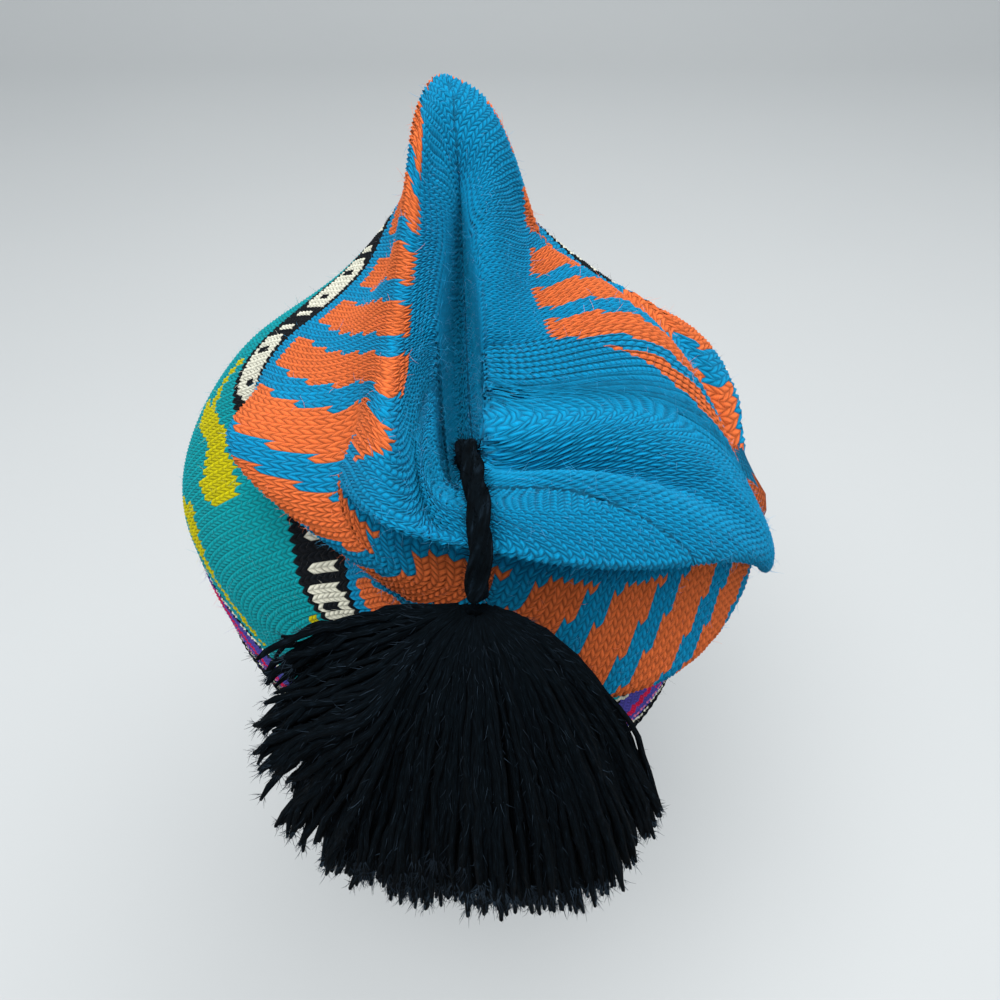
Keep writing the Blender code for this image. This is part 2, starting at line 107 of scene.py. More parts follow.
FOLDS = [
    # name            around  along  wide   long    x      y      z
    ("rim_lift",      0.370,  0.00,  0.110, 0.250,  0.04,  0.04,  0.110),
    ("left_flank",    0.120,  0.42,  0.070, 0.120,  0.18, -0.09, -0.027),
    ("left_ridge",    0.180,  0.60,  0.080, 0.080, -0.02,  0.00,  0.040),
    ("left_slope",    0.285,  0.590, 0.060, 0.095, -0.03, -0.02,  0.062),
    ("corner_in",     0.330,  0.70,  0.050, 0.070,  0.03,  0.05, -0.045),
    ("left_lobe",     0.300,  0.450, 0.055, 0.045, -0.24,  0.02,  0.026),
    ("lobe_back",     0.360,  0.58,  0.050, 0.080, -0.23,  0.05,  0.016),
    ("left_tuck",     0.335,  0.365, 0.050, 0.045,  0.16,  0.08,  0.010),
    ("back_low",      0.450,  0.36,  0.060, 0.070,  0.00, -0.02, -0.035),
    ("right_front",   0.870,  0.44,  0.080, 0.110, -0.07, -0.21, -0.038),
    ("right_out",     0.700,  0.53,  0.100, 0.130,  0.14,  0.00,  0.016),
    ("right_corner",  0.665,  0.57,  0.065, 0.120,  0.02, -0.10, -0.237),
    ("corner_low",    0.600,  0.62,  0.060, 0.070,  0.02,  0.00, -0.070),
    ("right_sag",     0.570,  0.44,  0.100, 0.050, -0.02, -0.16, -0.156),
    ("back_sag",      0.480,  0.44,  0.050, 0.050,  0.00, -0.04, -0.050),
    ("pucker",        0.570,  0.76,  0.022, 0.060,  0.00,  0.03, -0.048),
]
# Where the peak's left slope is eased: middle and half width, around and along
SLOPE = ((0.17, 0.085), (0.60, 0.13))
SLOPE_ROUNDS = 200
CORD_ROUTE = [
    (0.0105, -0.0790, 0.1165), (0.0095, -0.0800, 0.1240), (0.0088, -0.0820, 0.1320),
    (0.0092, -0.0875, 0.1400), (0.0106, -0.0965, 0.1420), (0.0118, -0.1050, 0.1420),
    (0.0124, -0.1120, 0.1395), (0.0122, -0.1160, 0.1340), (TIE[0], TIE[1], TIE[2] + 0.0030),
]
CORD_TURN = 0.011         # length of cord in which a ply goes once round it
CORD_FIBRES = 900
CORD_FIBRE_LENGTH = (0.001, 0.0026)
CORD_FIBRE_WIDTH = 0.00006
YARN_UNIT = 0.004         # length of yarn to one unit of its texture

# The pompom's ends, in layers from the outermost yarns to the core, as shares of its spread and drop
LOCK_LAYERS = [
    # spread_x spread_y spread_back fall
    (0.94,     0.66,    0.20,       0.58),
    (0.86,     0.58,    0.20,       0.80),
    (0.60,     0.44,    0.17,       0.94),
    (0.28,     0.20,    0.11,       0.98),
]
LEAN = (-0.05, -0.12)     # drift of the ends to the left and to the back, with their fall
STRAY_LOCKS = [(-0.88, -0.06, -0.22), (-0.92, -0.22, -0.33)]
STRAY_YARNS = 45          # yarns in each stray lock
STRAY_SPREAD = 0.0032
DENSER_LEFT = 0.30        # how much closer the yarns lie at the left
CLUMPS = (19, 0.035)      # loose clumps of yarns round the pompom, and how far they close up
WAVES = (9, 0.05)         # slower waves in the spread, and their depth
WIDTHS = (1.05, 0.99)     # the spread at the right and at the left
RIGHT_FALL = 0.24         # how much further the outer yarns at the right fall
YARNS = 1350
YARN_RADIUS = 0.00080
YARN_POINTS = 14
YARN_SIDES = 4
YARN_START = 0.03         # share of its course where a yarn leaves the tie
YARN_POWERS = (0.68, 1.45)               # of that share: it goes sideways first, then down
YARN_ROOM = (0.0045, 0.004)              # its distance from the fabric at the tie, and more from halfway
YARN_SWAY = (0.0003, 0.0010)
YARN_WAVES = (7, 15)
YARN_RIPPLE = 0.00022
YARN_PROFILE = ([0, 0.25, 0.8, 0.95, 1], [0.6, 0.9, 1.1, 1, 0.5])    # its thickness along it
PUSH_STEP = (0, -0.0015, -0.0006)        # one step of a point that is too near the fabric
YARN_PUSH = 0.016         # a yarn that the fabric would push further than this is left out
GOLDEN_ANGLE = 2.39996
FIBRES = 7                # fibres that stand off each yarn
END_FIBRES = 10           # and off its cut end
FIBRE_SPREADS = ((0.1, 0.9), (0.25, 0.8))       # how far they spread, off the end and off the side
FIBRE_LENGTHS = ((0.0010, 0.0034), (0.0015, 0.0035))
FIBRE_WIDTH = 0.00007
FIBRE_TAPER = ((0.0, 1.0), (0.55, 0.8), (1.0, 0.25))    # any fibre: share of its length, share of its width
FIBRE_CORNERS = (0, 2.1, 4.2)            # angles of its three edges

# Where the bands of the pattern lie on the fabric. around: share of the way round, front to left; the other
# columns are shares rim to tip of the lower edge of the eye band, its upper edge and the last row of bars.
BANDS = [
    # around eye_low eye_top bars_top
    (0.0000, 0.340,  0.378,  0.575),
    (0.0625, 0.340,  0.378,  0.720),
    (0.1250, 0.342,  0.380,  0.752),
    (0.1875, 0.360,  0.400,  0.750),
    (0.2500, 0.345,  0.398,  0.752),
    (0.3125, 0.340,  0.390,  0.625),
    (0.3750, 0.330,  0.380,  0.540),
    (0.4375, 0.290,  0.340,  0.530),
    (0.5000, 0.300,  0.345,  0.520),
    (0.5625, 0.300,  0.345,  0.530),
    (0.6250, 0.310,  0.360,  0.570),
    (0.6875, 0.320,  0.370,  0.735),
    (0.7500, 0.330,  0.375,  0.785),
    (0.8125, 0.330,  0.375,  0.785),
    (0.8750, 0.325,  0.370,  0.770),
    (0.9375, 0.330,  0.370,  0.640),
]
BAND_ROWS = (46, 54, LOW_ROWS)   # the courses at those three edges

# Yarn colours, linear
YARN = {
    "black": (0.006, 0.008, 0.011),
    "cream": (0.84, 0.83, 0.68),
    "purple": (0.085, 0.072, 0.40),
    "magenta": (0.70, 0.008, 0.075),
    "pink": (0.82, 0.22, 0.38),
    "teal": (0.003, 0.34, 0.385),
    "yellow": (0.60, 0.54, 0.004),
    "blue": (0.003, 0.29, 0.56),
    "orange": (0.86, 0.180, 0.048),
}
KEYS = {"K": "black", "W": "cream", "P": "purple", "M": "magenta", "I": "pink", "T": "teal", "Y": "yellow"}

# Charts, top row first; each repeats round the hat
DOTS = """
KKWW
WWKK
""".split()
PURPLE = """
PPPPPPPPPPPPPPPP
PPPPPPPMMPPPPPPP
PPPPPPMMMMPPPPPP
PPPPPMMMMMMPPPPP
PPPPMMMMMMMMPPPP
PPPMMMMPPMMMMPPP
PPMMMMPPPPMMMMPP
PMMMMPPPPPPMMMMP
MMMMPPPMMPPPMMMM
MMMPPPMMMMPPPMMM
MMPPPPPMMPPPPPMM
MPPPPPPPPPPPPPPM
IIIIIIIIIIIIIIII
PPPPPPPPPPPPPPPP
""".split()
FIGURES = """
TTTYTTTTTTTTTTTTTTTTTTTTTTTTTTTT
TTTYYTTTTTTTTTTTTTTTTTTTTTTTTTTT
TTTTYYTTTTTTYYTTTTTTTTTTTTTTTTTT
TTTTTYYYTTYYYYYTTTTTTTTTTTTTTTTT
TTTTTTYYYYYYYYYYYYTTTTTTTTTTTTTT
TTTTTTTYYYYYYYYYYYYYTTTTTTTTTTTT
TTTTTTTTYYYYYYYYYYYYYTTTTTTTTTTT
TTTTTTTYYYYYTTYYYYYYYTTTTTTTTTTT
TTTTTTYYYYYTTTTYYYYYYTTTTTTTTTTT
TTTTTTYYYYTTTTTTYYYYYTTTTTTTTTTT
TTTTTTTTTTTTTTTTTYYYYTTTTTTTTTTT
TTTTTTTTTTTTTTTTTYYYTTTTTTTTTTTT
TTTTTTTTTTTTTTTTTTTTTTTTTTTTTTTT
TTTTTTTTTTTTTTTTTTTTTTTTTTTTTTTT
TTTTTTTTTTTTTTTTTTTTTTTTTTTTTTTT
TTTTTTTTTTTTTTTTTTTTTTTTTTTTTTTT
TTTTTTTTTTTTTTTTTTYYTTTTTTTTTTTT
TTTTTTTTTTTTTTTTTTYYYYTTTTTTTTTT
TTTTTTTTTTTTTTTTYYYYYYYYTTTTTTTT
TTTTTTTTTTTTTTTTYYYYYYYYYYTTTTTT
TTTTTTTTTTTTTTYYYYTTYYYYYYYYTTTT
TTTTTTTTTTTTYYYYTTTTTTTTYYYYYYTT
TTTTTTTTTTYYYYTTTTTTTTTTTTTYYYYT
TTTTTTTTYYYYTTTTTTTTTTTTTTTTTYYY
TTTTTTTTYYTTTTTTTTTTTTTTTTTTTTTT
TTTTTTTTTTTTTTTTTTTTTTTTTTTTTTTT
""".split()
EYES = """
KKKKKKKKKKKKKKKK
KWWWWWWWWWKKKKKK
WWWWWWWWWWKWKKWK
WWKWWWWKWWKWKKWK
WWKWWWWKWWKWKKWK
WWKWWWWWWWKWKKWK
WWWWWWWWWKKKKKKK
KKKKKKKKKKKKKKKK
""".split()
TEAL_ROWS = slice(19, 46)
CHARTS = [(1, DOTS), (3, PURPLE), (17, DOTS), (19, FIGURES), (46, EYES)]    # each from its first course up
BAR_PITCH = 8             # wales from one bar to the next
BAR_WIDE = 5              # wales of orange in it
BAR_LOW = 56              # first course of bars
BAR_LEAN = 4              # courses for each wale that the bars lean towards the wearer's left

PALE = (0.545, 0.56, 0.56)       # the floor
ROOM_LIGHT = (0.86, 0.90, 0.94, 1)
ROOM_STRENGTH = 0.78
LIGHTS = [
    # name      place                aim              size power
    ("window",  (-0.20, -0.45, 1.1), (0, -0.03, 0.1), 0.8, 12.0),
    ("ceiling", (0.40, 0.25, 1.2),   (0, 0, 0.1),     1.2, 8.5),
]
PHOTO_LENS = 32.4         # millimetres, on Blender's 36 mm wide sensor
PHOTO_PLACE = (0.0162, -0.2347, 0.258)
PHOTO_ANGLE = 42          # degrees that the camera looks down
FLOOR_Z = -0.16
FLOOR_HALF = 2.5          # half its width
FLOOR_BACK = 1.2          # where it starts to curve up
FLOOR_BEND = 0.6          # radius of that curve


def add_object(name, data):
    obj = bpy.data.objects.new(name, data)
    bpy.context.scene.collection.objects.link(obj)
    return obj


def add_camera():
    """The photo's point of view."""
    data = bpy.data.cameras.new("photo_view")
    data.lens = PHOTO_LENS
    data.clip_start = 0.01
    camera = add_object("photo_view", data)
    camera.location = PHOTO_PLACE
    camera.rotation_euler = (math.radians(90 - PHOTO_ANGLE), 0, 0)
    bpy.context.scene.camera = camera


class Value:
    """The output of a shader node, so that maths on it reads as maths."""

    def __init__(self, paint, socket):
        self.paint, self.socket = paint, socket

    def maths(self, operation, *values):
        return self.paint.node("Math", {"operation": operation}, dict(enumerate(values)))

    def __add__(self, other):
        return self.maths("ADD", self, other)

    def __sub__(self, other):
        return self.maths("SUBTRACT", self, other)

    def __mul__(self, other):
        return self.maths("MULTIPLY", self, other)

    def __pow__(self, other):
        return self.maths("POWER", self, other)

    def __abs__(self):
        return self.maths("ABSOLUTE", self)

    def sine(self):
        return self.maths("SINE", self)

    def fraction(self):
        return self.maths("FRACT", self)

    def whole(self):
        return self.maths("FLOOR", self)

    def parts(self):
        """The three numbers of a vector."""
        split = self.paint.tree.nodes.new("ShaderNodeSeparateXYZ")
        self.paint.feed(split.inputs[0], self)
        return [Value(self.paint, s) for s in split.outputs]


class Paint:
    """One material, its Principled BSDF's constants given by name."""

    def __init__(self, name, **constants):
        self.material = bpy.data.materials.new(name)
        self.material.use_nodes = True
        self.tree = self.material.node_tree
        self.shader = self.tree.nodes["Principled BSDF"]
        for socket, value in constants.items():
            self.shader.inputs[socket.replace("_", " ")].default_value = value

    def feed(self, socket, value):
        if isinstance(value, Value):
            self.tree.links.new(value.socket, socket)
        else:
            socket.default_value = value

    def node(self, kind, settings=None, sockets=None, out=0):
        """Any node: its type, its settings, then the values or links of its sockets, by name or number."""
        made = self.tree.nodes.new("ShaderNode" + kind)
        for key, value in (settings or {}).items():
            if key == "stops":
                while len(made.color_ramp.elements) < len(value):
                    made.color_ramp.elements.new(0.5)
                for element, (place, colour) in zip(made.color_ramp.elements, value):
                    element.position = place
                    element.color = colour
            else:
                setattr(made, key, value)
        for key, value in (sockets or {}).items():
            self.feed(made.inputs[key], value)
        return Value(self, made.outputs[out])

    def vector(self, x, y):
        return self.node("CombineXYZ", None, {0: x, 1: y})

    def noise(self, vector, scale, detail=2.0, rough=0.5):
        return self.node("TexNoise", None, {"Vector": vector, "Scale": scale, "Detail": detail,
                                            "Roughness": rough})

    def mix(self, factor, low, high, blend="MIX"):
        """Two colours mixed by the factor. Sockets 6 and 7 are the node's colours, output 2 its result."""
        return self.node("Mix", {"data_type": "RGBA", "blend_type": blend}, {0: factor, 6: low, 7: high}, 2)

    def grey(self, value):
        """A number as a colour, to multiply a colour with."""
        return self.node("CombineColor", None, {0: value, 1: value, 2: value})

    def bump(self, height, distance, strength):
        normal = self.node("Bump", None, {"Height": height, "Distance": distance, "Strength": strength})
        self.feed(self.shader.inputs["Normal"], normal)

    def colour(self, value):
        self.feed(self.shader.inputs["Base Color"], value)


def wool_paint():
    """Knitted wool: the yarn's own colour, darkened with the stitch's height as painted shade in the gaps
    between legs and courses, a rounded leg for each half stitch, fibres along the yarn.
    """
    paint = Paint("knit_wool", Roughness=0.95, Sheen_Weight=0.02, Sheen_Roughness=0.6,
                  Specular_IOR_Level=0.05)
    lattice = paint.node("UVMap", {"uv_map": "stitch"})
    wale, course, _ = lattice.parts()
    leg_side = abs((wale * (2 * math.pi)).sine())
    leg_round = (course.fraction() * math.pi).sine() ** 0.7
    height = leg_round * (leg_side ** 0.6 * 0.75 + 0.25)
    slant = abs(wale.fraction() - 0.5)
    fibre_place = paint.vector(wale.whole() * 3.7 + slant * 5.0, course * 13.0 + slant * 9.0)
    fibres = paint.noise(fibre_place, 1.0, 3.0, 0.6)
    stitch_place = paint.vector(wale.whole() + 0.5, course.whole() + 0.5)
    patchy = paint.noise(stitch_place, 0.9, 1.0)
    yarn = paint.node("Attribute", {"attribute_name": "yarn"})
    # the yarn colour is multiplied by painted shade, darker where the stitch is low (the gaps between legs
    # and courses), and by real tone that varies with the fibres and from stitch to stitch
    shade = height * 0.50 + 0.42 + (fibres - 0.5) * 0.55 + (patchy - 0.5) * 0.35
    paint.colour(paint.mix(1.0, yarn, paint.grey(shade), "MULTIPLY"))
    paint.bump(height * 0.75 + fibres * 0.35, 0.0007, 0.9)
    return paint.material


def fuzz_paint():
    """Loose fibres, each in the colour of the stitch that it stands on, lightened as painted light on the
    fibres.
    """
    paint = Paint("wool_fuzz", Roughness=1.0, Sheen_Weight=0.2)
    paint.colour(paint.node("Attribute", {"attribute_name": "yarn"}))
    return paint.material


def black_yarn_paint(name, along, across, lift):
    """Black wool with a cool cast, its plies along the yarn."""
    paint = Paint(name, Roughness=0.95, Specular_IOR_Level=0.04)
    lattice = paint.node("UVMap", {"uv_map": "stitch"})
    run, turn, _ = lattice.parts()
    plies = paint.noise(paint.vector(run * along, turn * across + run * along * 0.6), 1.0, 3.0, 0.6)
    stops = [(0.30, (0.0005, 0.0010, 0.0015, 1)), (0.55, (0.0015, 0.0034, 0.0052, 1)),
             (0.78, (0.0085, 0.0165, 0.0260, 1))]
    paint.colour(paint.node("ValToRGB", {"stops": stops}, {0: plies}))
    paint.bump(plies, lift, 0.8)
    return paint.material


def pompom_fluff_paint():
    """Fine fibres that catch a little more light than the yarn under them."""
    paint = Paint("pompom_fluff", Roughness=0.9, Specular_IOR_Level=0.1)
    tufts = paint.noise(paint.node("TexCoord", None, None, 3), 90.0, 2.0)
    paint.colour(paint.mix(tufts ** 2, (0.002, 0.004, 0.007, 1), (0.050, 0.085, 0.125, 1)))
    return paint.material


def floor_paint():
    """A pale floor, faintly uneven."""
    paint = Paint("pale_floor", Roughness=0.75, Specular_IOR_Level=0.2)
    place = paint.node("TexCoord", None, None, 3)
    cloud = paint.noise(place, 3.0, 4.0)
    darker = (PALE[0] * 0.96, PALE[1] * 0.965, PALE[2] * 0.97, 1)
    paint.colour(paint.mix(cloud, (*PALE, 1), darker))
    return paint.material


def smooth_table(shares, values, at):
    """Monotone cubic through the rows of a table, so that no column overshoots its own numbers."""
    x, y = np.asarray(shares, float), np.asarray(values, float)
    h, d = np.diff(x), np.diff(y) / np.diff(x)
    m = np.zeros_like(y)
    m[0], m[-1] = d[0], d[-1]
    for i in range(1, len(x) - 1):
        if d[i - 1] * d[i] > 0:
            w1, w2 = 2 * h[i] + h[i - 1], h[i] + 2 * h[i - 1]
            m[i] = (w1 + w2) / (w1 / d[i - 1] + w2 / d[i])
    k = np.clip(np.searchsorted(x, at, side="right") - 1, 0, len(h) - 1)
    t = (at - x[k]) / h[k]
    return ((2 * t**3 - 3 * t**2 + 1) * y[k] + (t**3 - 2 * t**2 + t) * h[k] * m[k]
            + (3 * t**2 - 2 * t**3) * y[k + 1] + (t**3 - t**2) * h[k] * m[k + 1])


def ring_points(row, around):
    """One section curve, read at even shares of its length counted from the front towards the left."""
    x0, y0, z0, left, right, depth, tilt, roll, pinch, front_y, front_z, front_w = row
    a = np.linspace(0, 2 * math.pi, RING_POINTS)
    front = np.cos(a)
    half = np.where(a < math.pi, left, right) * (1 - pinch * (0.5 + 0.5 * front) ** 1.5)
    side = -np.sin(a) * half
    tilt, roll = math.radians(tilt), math.radians(roll)
    across = np.array([math.cos(roll), 0, -math.sin(roll)])
    fore = np.array([0, math.cos(tilt), math.sin(tilt)])
    p = np.array([x0, y0, z0]) + side[:, None] * across + (front * depth)[:, None] * fore
    drawn = np.exp(-np.abs(side / front_w) ** 4) * np.clip(front, 0, 1) ** 0.45
    p += drawn[:, None] * np.array([0, front_y - p[0, 1], front_z - p[0, 2]])
    length = np.concatenate([[0], np.cumsum(np.linalg.norm(np.diff(p, axis=0), axis=1))])
    at = np.asarray(around) * length[-1]
    return np.stack([np.interp(at, length, p[:, k]) for k in range(3)], 1)


def body_surface(around, along):
    """Points of the outer face: a row for each share along, a column for each share around."""
    shares = [s[1] for s in SECTIONS]
    columns = [smooth_table(shares, [s[k + 2] * unit for s in SECTIONS], along)
               for k, unit in enumerate(SECTION_UNITS)]
    grid = np.stack([ring_points([c[i] for c in columns], around) for i in range(len(along))])
    for _, at_around, at_along, wide, long, dx, dy, dz in FOLDS:
        du = (around - at_around + 0.5) % 1.0 - 0.5
        weight = np.exp(-(du / wide) ** 2)[None, :] * np.exp(-((along - at_along) / long) ** 2)[:, None]
        grid += weight[..., None] * np.array([dx * HALF_WIDTH, dy * HALF_DEPTH, dz * HEIGHT])
    return grid


def row_normals(grid):
    """Outward unit normals of a grid that is closed round its columns."""
    round_way = np.roll(grid, -1, axis=1) - np.roll(grid, 1, axis=1)
    long_way = np.gradient(grid, axis=0)
    n = np.cross(round_way, long_way)
    for _ in range(2):
        n = n / np.maximum(np.linalg.norm(n, axis=2, keepdims=True), 1e-9)
        padded = np.concatenate([n[:1], n, n[-1:]])
        n = n + 0.35 * (np.roll(n, 1, 1) + np.roll(n, -1, 1)) + 0.35 * (padded[:-2] + padded[2:])
    return n / np.linalg.norm(n, axis=2, keepdims=True)


def grid_faces(rows, cols, first=0):
    """Faces of a grid that is closed round its columns, its vertices numbered from first."""
    return [(first + i * cols + j, first + i * cols + (j + 1) % cols,
             first + (i + 1) * cols + (j + 1) % cols, first + (i + 1) * cols + j)
            for i in range(rows - 1) for j in range(cols)]


def tube_faces(rows, cols, first=0):
    """Faces of a tube with both ends closed."""
    last = first + (rows - 1) * cols
    return grid_faces(rows, cols, first) + [tuple(range(first + cols - 1, first - 1, -1)),
                                            tuple(range(last, last + cols))]


def neighbour_mean(grid):
    """The mean of the four neighbours of every point."""
    padded = np.concatenate([grid[:1], grid, grid[-1:]])
    return (padded[:-2] + padded[2:] + np.roll(grid, 1, 1) + np.roll(grid, -1, 1)) / 4


def ease_slope(grid, around, along):
    """Evens the left slope of the peak, where its sections would leave a crease."""
    near = [np.exp(-((at - middle) / wide) ** 4) for at, (middle, wide) in zip((around, along), SLOPE)]
    weight = (near[0][None, :] * near[1][:, None])[..., None]
    for _ in range(SLOPE_ROUNDS):
        grid = grid + 0.6 * weight * (neighbour_mean(grid) - grid)
    return grid


def tree_of(grid):
    return BVHTree.FromPolygons([Vector(v) for v in grid.reshape(-1, 3)], grid_faces(*grid.shape[:2]))


def relax_tangles(grid, against=None, rounds=60):
    """Eases the fabric only where it passes through itself, so that folds stay folds."""
    grid = grid.copy()
    rows, cols = grid.shape[:2]
    faces = grid_faces(rows, cols)
    other = tree_of(against) if against is not None else None
    for _ in range(rounds):
        tree = tree_of(grid)
        marked = {v for a, _ in tree.overlap(other) for v in faces[a]} if other else set()
        for a, b in tree.overlap(tree):
            if a < b and not set(faces[a]) & set(faces[b]):
                marked.update(faces[a] + faces[b])
        if not marked:
            break
        weight = np.zeros(rows * cols)
        weight[list(marked)] = 1
        weight = weight.reshape(rows, cols)
        spread = weight.copy()
        spread[1:] = np.maximum(spread[1:], weight[:-1])
        spread[:-1] = np.maximum(spread[:-1], weight[1:])
        spread = np.maximum(spread, np.maximum(np.roll(weight, 1, 1), np.roll(weight, -1, 1)))
        spread[0] = 0
        grid += 0.5 * spread[..., None] * (neighbour_mean(grid) - grid)
    return grid


def smooth_route(points, count):
    """Smooth curve through the route's points, read at even lengths."""
    p = np.asarray(points, float)
    p = np.concatenate([[2 * p[0] - p[1]], p, [2 * p[-1] - p[-2]]])
    fine = []
    for i in range(1, len(p) - 2):
        for t in np.linspace(0, 1, 24, endpoint=False):
            fine.append(0.5 * (2 * p[i] + (p[i + 1] - p[i - 1]) * t
                               + (2 * p[i - 1] - 5 * p[i] + 4 * p[i + 1] - p[i + 2]) * t**2
                               + (3 * p[i] - p[i - 1] - 3 * p[i + 1] + p[i + 2]) * t**3))
    fine = np.array(fine + [p[-2]])
    length = np.concatenate([[0], np.cumsum(np.linalg.norm(np.diff(fine, axis=0), axis=1))])
    at = np.linspace(0, length[-1], count)
    return np.stack([np.interp(at, length, fine[:, k]) for k in range(3)], 1), length[-1]


def part_for_cord(grid):
    """Presses the fabric back where the cord runs, by the cord's radius and a little more."""
    line, _ = smooth_route(CORD_ROUTE, 120)
    room = CORD_DIAMETER / 2 + CORD_ROOM
    flat = grid.reshape(-1, 3)
    offset = flat[:, None] - line[None]
    distance = np.linalg.norm(offset, axis=2)
    nearest = distance.argmin(1)
    pick = np.arange(len(flat))
    short = distance[pick, nearest] < room
    away = offset[pick, nearest] / np.maximum(distance[pick, nearest], 1e-8)[:, None]
    flat = np.where(short[:, None], line[nearest] + away * room, flat)
    return flat.reshape(grid.shape)


def sample(grid, along, around):
    """The grid read between its points with a smooth cubic; along runs 0 to 1, around goes round."""
    rows, cols = grid.shape[:2]
    row, col = np.clip(along, 0, 1) * (rows - 1), np.asarray(around) * cols
    r0 = np.clip(np.floor(row).astype(int), 0, rows - 2)
    c0 = np.floor(col).astype(int)

    def weights(t):
        return (0.5 * (-t + 2 * t**2 - t**3), 0.5 * (2 - 5 * t**2 + 3 * t**3),
                0.5 * (t + 4 * t**2 - 3 * t**3), 0.5 * (t**3 - t**2))

    out = 0
    for i, wr in enumerate(weights(row - r0)):
        for j, wc in enumerate(weights(col - c0)):
            r = np.clip(r0 + i - 1, 0, rows - 1)
            out = out + (wr * wc)[..., None] * grid[r, (c0 + j - 1) % cols]
    return out


class Knitting:
    """Where every stitch lies on the smooth fabric, and in what yarn it is knitted."""

    def __init__(self, outer):
        self.outer = outer
        self.normals = row_normals(outer)
        self.columns = WALES * COLUMNS
        self.around = np.arange(self.columns) / self.columns
        fine = np.linspace(0, 1, SCAN_ROWS)
        lines = sample(outer, np.repeat(fine[:, None], self.columns, 1),
                       np.repeat(self.around[None], SCAN_ROWS, 0))
        steps = np.linalg.norm(np.diff(lines, axis=0), axis=2)
        length = np.concatenate([np.zeros((1, self.columns)), np.cumsum(steps, axis=0)])
        edges = self.band_edges()
        last = [np.interp(edges[2][c], fine, length[:, c]) for c in range(self.columns)]
        self.rows = LOW_ROWS + int(np.ceil((length[-1] - last).max() / COURSE)) + 1
        self.half_rows = np.arange(2 * self.rows + 1) / 2
        self.share = np.zeros((len(self.half_rows), self.columns))
        for c in range(self.columns):
            shares = np.array([0, edges[0][c], edges[1][c], edges[2][c]])
            marks = np.interp(shares, fine, length[:, c])
            rows_at = np.array([0, *BAND_ROWS])
            low = np.interp(self.half_rows, rows_at, marks)
            high = marks[3] + (self.half_rows - LOW_ROWS) * COURSE
            reached = np.where(self.half_rows <= LOW_ROWS, low, high)
            self.share[:, c] = np.interp(reached, length[:, c], fine)
        ring = sample(outer, self.share, np.repeat(self.around[None], len(self.half_rows), 0))
        girth = np.linalg.norm(np.roll(ring, -1, 1) - ring, axis=2).sum(1)
        pitch = np.maximum(girth[2 * LOW_ROWS] / np.maximum(girth, 1e-4), 1) / WALES
        pitch[:2 * LOW_ROWS] = 1 / WALES
        self.pitch = np.maximum.accumulate(pitch)
        self.chart = self.colour_chart()

    def band_edges(self):
        """The shares of the three band edges at every mesh column, smooth all the way round."""
        table = np.array(BANDS)
        shares = np.concatenate([table[-2:, 0] - 1, table[:, 0], table[:2, 0] + 1])
        columns = [np.concatenate([table[-2:, k], table[:, k], table[:2, k]]) for k in (1, 2, 3)]
        return [smooth_table(shares, column, self.around) for column in columns]

    def place(self, wale, row):
        """Share around and share along of a point in wales from the front and courses from the rim."""
        middle = np.where(wale < WALES / 2, WALES / 4, WALES * 3 / 4)
        pitch = np.interp(row, self.half_rows, self.pitch)
        offset = (wale - middle) * pitch
        around = middle / WALES + np.clip(offset, -QUARTER, QUARTER)
        gone = np.abs(offset) > QUARTER + 1e-9
        col = around * self.columns
        c0 = np.floor(col).astype(int)
        r = np.clip(row * 2, 0, len(self.half_rows) - 1.001)
        r0 = np.floor(r).astype(int)
        along = 0
        for i, wr in enumerate((1 - (r - r0), r - r0)):
            for j, wc in enumerate((1 - (col - c0), col - c0)):
                along = along + wr * wc * self.share[r0 + i, (c0 + j) % self.columns]
        return around, along, gone

    def colour_chart(self):
        """Index of the yarn of every stitch, a row for each course."""
        names = list(YARN)
        wale = np.arange(WALES)
        chart = np.full((self.rows + 1, WALES), names.index("blue"))

        def paint(first, lines):
            for k, line in enumerate(reversed(lines)):
                chart[first + k] = [names.index(KEYS[line[w % len(line)]]) for w in wale]

        chart[0] = names.index("black")
        chart[TEAL_ROWS] = names.index("teal")
        for first, lines in CHARTS:
            paint(first, lines)
        for row in range(BAR_LOW, LOW_ROWS):
            lit = (wale - (row - BAR_LOW) // BAR_LEAN) % BAR_PITCH < BAR_WIDE
            chart[row, lit] = names.index("orange")
        return chart


def mesh_object(name, verts, faces, material, uv=None, colours=None, period=0):
    """One piece on the root body. period: after how many units the uv starts anew round the hat, or 0."""
    mesh = bpy.data.meshes.new(name)
    mesh.from_pydata(np.asarray(verts).tolist(), [], faces)
    mesh.polygons.foreach_set("use_smooth", [True] * len(mesh.polygons))
    if uv is not None:
        corners = np.empty(len(mesh.loops), int)
        mesh.loops.foreach_get("vertex_index", corners)
        place = np.asarray(uv, float)[corners]
        if period:
            starts = np.empty(len(mesh.polygons), int)
            mesh.polygons.foreach_get("loop_start", starts)
            furthest = np.repeat(np.maximum.reduceat(place[:, 0], starts), np.diff([*starts, len(place)]))
            place[:, 0] += np.where(place[:, 0] < furthest - period / 2, period, 0)
        layer = mesh.uv_layers.new(name="stitch")
        layer.data.foreach_set("uv", place.ravel())
    if colours is not None:
        layer = mesh.attributes.new("yarn", "FLOAT_COLOR", "FACE")
        rgba = np.ones((len(mesh.polygons), 4))
        rgba[:, :3] = colours
        layer.data.foreach_set("color", rgba.ravel())
    mesh.materials.append(material)
    obj = add_object(name, mesh)
    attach(obj, "root")
    return obj


